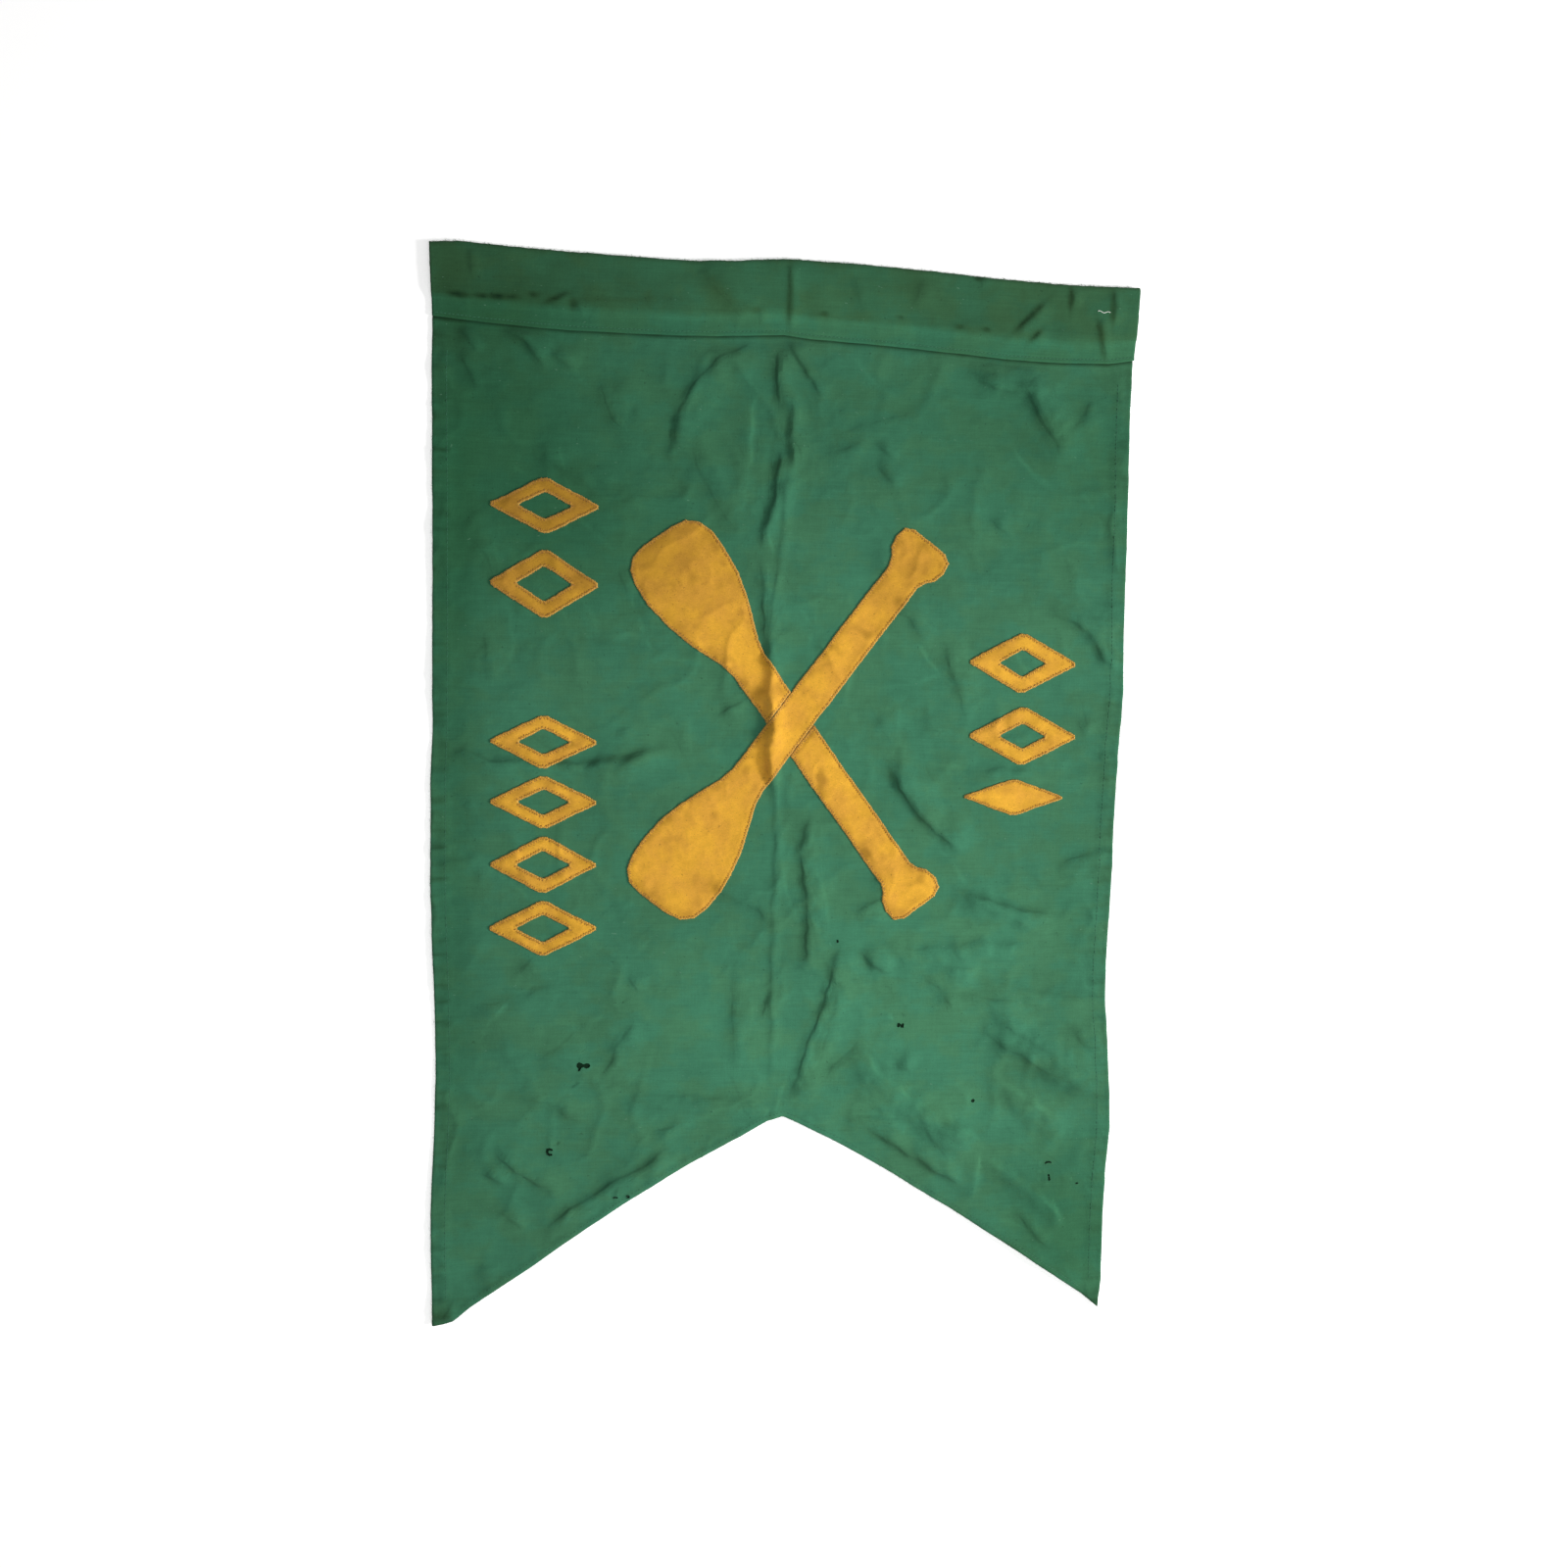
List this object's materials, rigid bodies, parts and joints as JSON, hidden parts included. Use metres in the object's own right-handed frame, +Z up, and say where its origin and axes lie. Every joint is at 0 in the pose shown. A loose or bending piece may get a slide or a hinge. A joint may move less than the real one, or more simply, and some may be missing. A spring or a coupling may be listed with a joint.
{
  "type": "swallow-tailed flag",
  "caption": "Green cotton guidon with a forked fly edge, a staff sleeve along the hoist and sewn gold felt motifs, worn and dirty, lying open and face up with its old fold creases",
  "frame": {"origin": "on the surface that the flag lies on, under the middle of its outline", "axes": "+Z up out of the face, +Y from the fork to the staff sleeve, +X across the flag"},
  "size_m": [0.5136, 0.7827, 0.0079],
  "materials": {
    "green_cotton": "plain-weave cotton, matt, faded and stained",
    "sleeve_cotton": "plain-weave cotton, matt, soiled along the hoist",
    "gold_felt": "wool felt, matt and fuzzy, stitched edges"
  },
  "bodies": {
    "root": {"cloth_body": "green_cotton", "hoist_sleeve": "sleeve_cotton", "paddle_front": "gold_felt", "paddle_rear_blade": "gold_felt", "paddle_rear_shaft": "gold_felt", "lozenge_a1": "gold_felt", "lozenge_a2": "gold_felt", "lozenge_a3": "gold_felt", "lozenge_a4": "gold_felt", "lozenge_a5": "gold_felt", "lozenge_a6": "gold_felt", "lozenge_b1": "gold_felt", "lozenge_b2": "gold_felt", "lozenge_b3": "gold_felt"}
  },
  "joints": []
}
